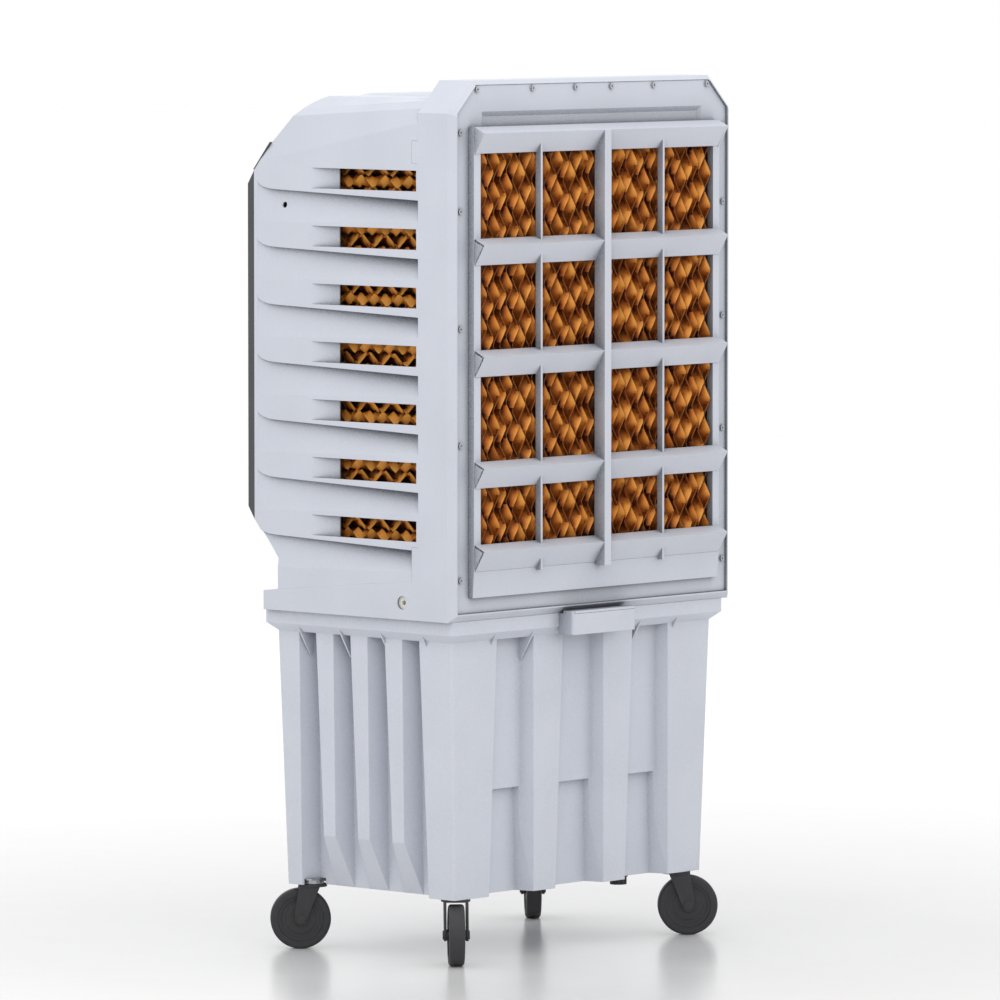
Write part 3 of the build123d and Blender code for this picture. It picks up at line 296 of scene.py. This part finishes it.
# ---- Pump, hose, float and drain ---------------------------------------------------------------------
# A submersible pump in black ABS feeds a rubber hose up to the white distributor. The float and its arm
# are blown polyethylene, and the drain has a screw plug.
black_abs = finish("black_abs", "1D1D1F", "262628", 0.42, 1.5, 0.04, edge_wear_highlight="444446")
hose_rubber = finish("ribless_hose_rubber", "1A1A1B", "232324", 0.55, 0.9, 0.05)
blown_polyethylene = finish("blown_polyethylene", "2E63A8", "28589A", 0.38, 2.0, 0.03, edge_wear_highlight="5F8CC6")
white_acetal = finish("white_acetal", "E6E6E0", "DCDCD4", 0.35, 1.8, 0.03, edge_wear_highlight="F4F4F0")
paint(["pump", "drain_fitting", "drain_plug"], black_abs)
paint(["supply_hose"], hose_rubber)
paint(["float_arm"], blown_polyethylene)
paint(["float_valve", "water_distributor"], white_acetal)

# ---- Fan, its shroud, motor, bracket and guard ---------------------------------------------------------
# A moulded impeller on an enamelled motor, carried by a galvanised bracket across the shroud's ring,
# behind a guard of black-coated welded wire.
# The grey shroud's hollows are darkened with painted shade.
shroud_abs = finish("grey_shroud_abs", "8E9298", "868A90", 0.50, 2.0, 0.05, edge_wear_highlight="A6AAB0", hollow_shade="5A5D62")
fan_nylon = finish("fan_nylon", "30343A", "292D33", 0.36, 1.8, 0.03, edge_wear_highlight="50545A")
motor_enamel = finish("motor_enamel", "3B3F45", "34383E", 0.38, 2.5, 0.05, edge_wear_highlight="6A6E74")
galvanised = finish("galvanised_sheet", "A9ADB1", "8F9498", 0.42, 6.0, 0.02, edge_wear_highlight="C9CCCF", metallic=1.0)
coated_wire = finish("black_coated_wire", "1C1C1D", "242425", 0.40, 1.2, 0.03)
paint(["fan_shroud"], shroud_abs)
paint(["fan_impeller"], fan_nylon)
paint(["fan_motor", "swing_motor"], motor_enamel)
paint(["motor_bracket"], galvanised)
paint(["fan_guard"], coated_wire)

# ---- Fascia, outlet louvres and their links ------------------------------------------------------------
# Charcoal ABS, injection moulded, with the even fine spark grain of a car's dashboard.
# Its hollows are darkened with painted shade.
charcoal_abs = finish("charcoal_abs", "4A4A4C", "434345", 0.46, 1.6, 0.05, edge_wear_highlight="6C6C6F", hollow_shade="262627")
paint([n for n in nodes if n.startswith("outlet_")] + ["front_fascia", "control_panel"], charcoal_abs)
paint(["blade_link", "vane_link"], black_abs)

# ---- Knobs and the dial marks around them --------------------------------------------------------------
# Two moulded ABS knobs with a grip bar, each with a pale inlaid pointer, inside a ring of thick pale
# printed marks on the panel.
knob_abs = finish("satin_knob_abs", "28282A", "303032", 0.34, 1.4, 0.03, edge_wear_highlight="58585A")
print_ink = finish("pale_print_ink", "E4E4E2", "DADAD8", 0.55, 0.8, 0.02)
mark_count = 9
mark_sweep = math.radians(270)
mark_ring = 0.0245
mark_size = (0.0011, 0.0042, 0.0004)
pointer_size = (0.0014, 0.0105, 0.0006)


def inlaid_bar(name, size, place, out, along, body):
    """A thin bar with eased edges, lying on a slope: out is the slope's normal, along the bar's length."""
    bpy.ops.mesh.primitive_cube_add(size=1)
    bar = bpy.context.object
    bar.name = name
    turn = Matrix((along.cross(out), along, out)).transposed()
    for vertex in bar.data.vertices:
        vertex.co = place + turn @ Vector(vertex.co[i] * size[i] for i in range(3))
    ease = bar.modifiers.new("eased_edges", "BEVEL")
    ease.width = size[2] * 0.4
    ease.segments = 2
    bpy.ops.object.modifier_apply(modifier="eased_edges")
    bar.data.materials.append(print_ink)
    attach(bar, body)
    bpy.ops.object.select_all(action="DESELECT")


paint(["speed_knob", "function_knob"], knob_abs)
for knob in ("speed_knob", "function_knob"):
    joint = next(j for j in frame["record"]["behaviour"]["joints"] if j["name"] == f"{knob}_turn")
    out = Vector(joint["axis"]).normalized()
    if out.z < 0:
        out = -out
    low, high = (Vector(corner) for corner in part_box(knob))
    middle = (low + high) / 2
    panel_low, panel_high = (Vector(corner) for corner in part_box("control_panel"))
    panel = (panel_low + panel_high) / 2
    middle += out * ((panel - middle).dot(out) + 0.00125)
    up = out.cross(Vector((1, 0, 0))).normalized()
    if up.z < 0:
        up = -up
    across = up.cross(out)
    for index in range(mark_count):
        angle = mark_sweep * (index / (mark_count - 1) - 0.5)
        along = up * math.cos(angle) + across * math.sin(angle)
        size = mark_size if index % 2 else (mark_size[0] * 1.3, mark_size[1] * 1.4, mark_size[2])
        inlaid_bar(f"{knob}_mark_{index}", size, middle + along * mark_ring, out, along, "cabinet")
    top = max((nodes[knob].matrix_world @ v.co).dot(out) for v in nodes[knob].data.vertices)
    tip = middle + out * (top - middle.dot(out)) + up * 0.009
    inlaid_bar(f"{knob}_pointer", pointer_size, tip, out, up, knob)


# ---- Wet pads --------------------------------------------------------------------------------------------
# Resin-stiffened cellulose paper: thin corrugated sheets glued crest to crest, their flutes slanting
# through the pad to alternate sides. Each sheet starts its wave at its own place, so rows don't match.
wave_pitch = 0.0535
sheet_thick = 0.0007
crest_sharpness = 0.985


def corrugated_pad(name, node, along, stack, through, lean, sheet_step, reach):
    """Sheets stacked on one axis, waved along another and slanting through the third."""
    low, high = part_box(node)
    height = sheet_step * reach
    first = low[stack] + height + sheet_thick
    count = round((high[stack] + low[stack] - 2 * first) / sheet_step) + 1
    step = (high[stack] + low[stack] - 2 * first) / (count - 1)
    rows = round((high[along] - low[along]) / wave_pitch * 10)
    layers = round((high[through] - low[through]) / 0.0075)
    bpy.ops.mesh.primitive_grid_add(x_subdivisions=rows, y_subdivisions=layers, size=1)
    flat = bpy.context.object
    shares = [(v.co.x + 0.5, v.co.y + 0.5) for v in flat.data.vertices]
    draw = random.Random(len(name) * 7 + 3)
    sheets = []
    for index in range(count):
        sheet = flat.copy()
        sheet.data = flat.data.copy()
        bpy.context.scene.collection.objects.link(sheet)
        phase = draw.uniform(0, math.tau)
        slant = lean if index % 2 else -lean
        middle = first + index * step
        for vertex, (run, depth) in zip(sheet.data.vertices, shares):
            spot = [0.0, 0.0, 0.0]
            spot[along] = low[along] + run * (high[along] - low[along])
            spot[through] = low[through] + depth * (high[through] - low[through])
            turn = (spot[along] + slant * spot[through]) / wave_pitch * math.tau + phase
            wave = math.asin(crest_sharpness * math.sin(turn)) / math.asin(crest_sharpness)
            spot[stack] = middle + height * wave
            vertex.co = spot
        sheets.append(sheet)
    bpy.data.objects.remove(flat)
    bpy.ops.object.select_all(action="DESELECT")
    for sheet in sheets:
        sheet.select_set(True)
    bpy.context.view_layer.objects.active = sheets[0]
    bpy.ops.object.join()
    pad = bpy.context.object
    pad.name = name
    for paper in (pad_paper, cut_edge):
        pad.data.materials.append(paper)
    wall = pad.modifiers.new("paper", "SOLIDIFY")
    wall.thickness = sheet_thick
    wall.offset = 0
    wall.material_offset_rim = 1
    bpy.ops.object.modifier_apply(modifier="paper")
    bpy.ops.object.shade_smooth_by_angle(angle=math.radians(40))
    bpy.ops.object.select_all(action="DESELECT")
    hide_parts(node)
    return pad


pad_paper, shader = new_material("resin_treated_cellulose")
place = add_node(pad_paper, "ShaderNodeTexCoord")
fibre = add_node(pad_paper, "ShaderNodeTexNoise", [("Vector", place, "Object")], Scale=45.0, Detail=6.0)
pulp = add_node(pad_paper, "ShaderNodeTexNoise", [("Vector", place, "Object")], Scale=700.0, Detail=3.0)
# Painted shade and painted highlight: ambient occlusion darkens the paper to near-black in the deep flutes
# and lifts it to pale orange on the proud crests.
shelter = add_node(pad_paper, "ShaderNodeAmbientOcclusion", samples=8, Distance=0.022)
depth_shade = add_node(pad_paper, "ShaderNodeMapRange", [("Value", shelter, "AO")], From_Min=0.34, From_Max=0.62)
proud = add_node(pad_paper, "ShaderNodeMapRange", [("Value", shelter, "AO")], From_Min=0.62, From_Max=0.86)
patchy = add_node(pad_paper, "ShaderNodeMix", [("Factor", fibre, "Fac")],
                  [(6, linear("E07A18")), (7, linear("AE540A"))], data_type="RGBA")
shaded_paper = add_node(pad_paper, "ShaderNodeMix", [("Factor", depth_shade, "Result"), (7, patchy, 2)],
                     [(6, linear("1C0702"))], data_type="RGBA")
crest_highlight = add_node(pad_paper, "ShaderNodeMix", [("Factor", proud, "Result"), (6, shaded_paper, 2)],
                      [(7, linear("FFB24C"))], data_type="RGBA")
bump = add_node(pad_paper, "ShaderNodeBump", [("Height", pulp, "Fac")], Strength=0.5, Distance=0.0004)
wire(pad_paper, crest_highlight, 2, shader, "Base Color")
wire(pad_paper, bump, "Normal", shader, "Normal")
shader.inputs["Roughness"].default_value = 0.62

cut_edge = finish("cut_cellulose_edge", "B87038", "9A5626", 0.75, 1.0, 0.2)
for name, node, axes, body, lean, sheet_step, reach in (
    ("rear_wet_pad", "rear_pad", (2, 0, 1), "pad_frame", 1.0, 0.0154, 0.53),
    ("left_wet_pad", "side_pad_left", (1, 2, 0), "cabinet", 1.4, 0.019, 0.60),
    ("right_wet_pad", "side_pad_right", (1, 2, 0), "cabinet", 2.1, 0.019, 0.60),
):
    pad = corrugated_pad(name, node, *axes, lean, sheet_step, reach)
    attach(pad, body)

# ---- Cover plate's screws ----------------------------------------------------------------------------------
# Bright zinc-plated pan-head screws with a cross recess, pulled down on the plate.
# The cross recesses are darkened with painted shade.
screw_zinc = finish("screw_zinc", "C4C8CE", "B4B8BE", 0.40, 1.0, 0.02, edge_wear_highlight="E6E8EB", hollow_shade="3A3C40",
                    metallic=0.25)
paint(["panel_screws"], screw_zinc)
